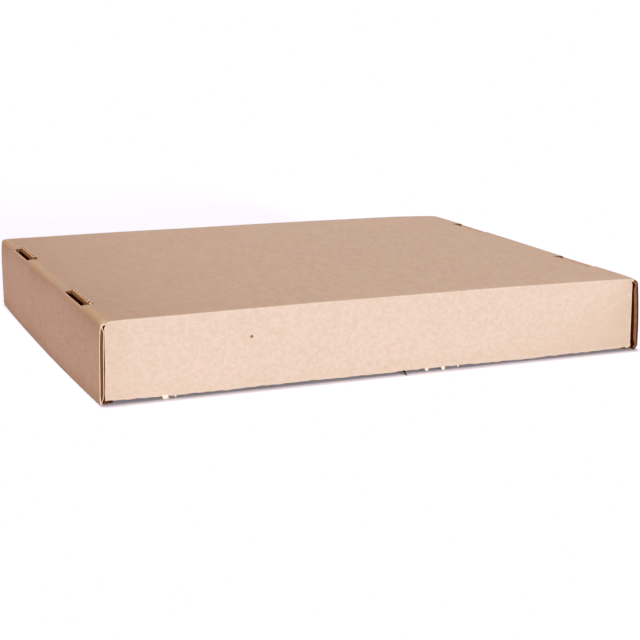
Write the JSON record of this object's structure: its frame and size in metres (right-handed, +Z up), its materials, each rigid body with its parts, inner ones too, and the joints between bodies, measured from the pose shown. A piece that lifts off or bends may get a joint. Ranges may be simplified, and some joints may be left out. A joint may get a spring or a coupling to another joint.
{
  "type": "corrugated shipping box",
  "caption": "Shallow one-piece corrugated tray lying open side down, with rolled-over end walls whose tabs lock into slots in the panel.",
  "frame": {"origin": "on the floor under the middle of the tray, level with the rims of the end walls", "axes": "+X along the length, +Y across the width away from the pictured side wall, +Z up towards the panel"},
  "size_m": [0.412, 0.3148, 0.0553],
  "materials": {
    "kraft_board": "matt, unprinted brown kraft paper"
  },
  "bodies": {
    "root": {"tray": "kraft_board"}
  },
  "joints": []
}
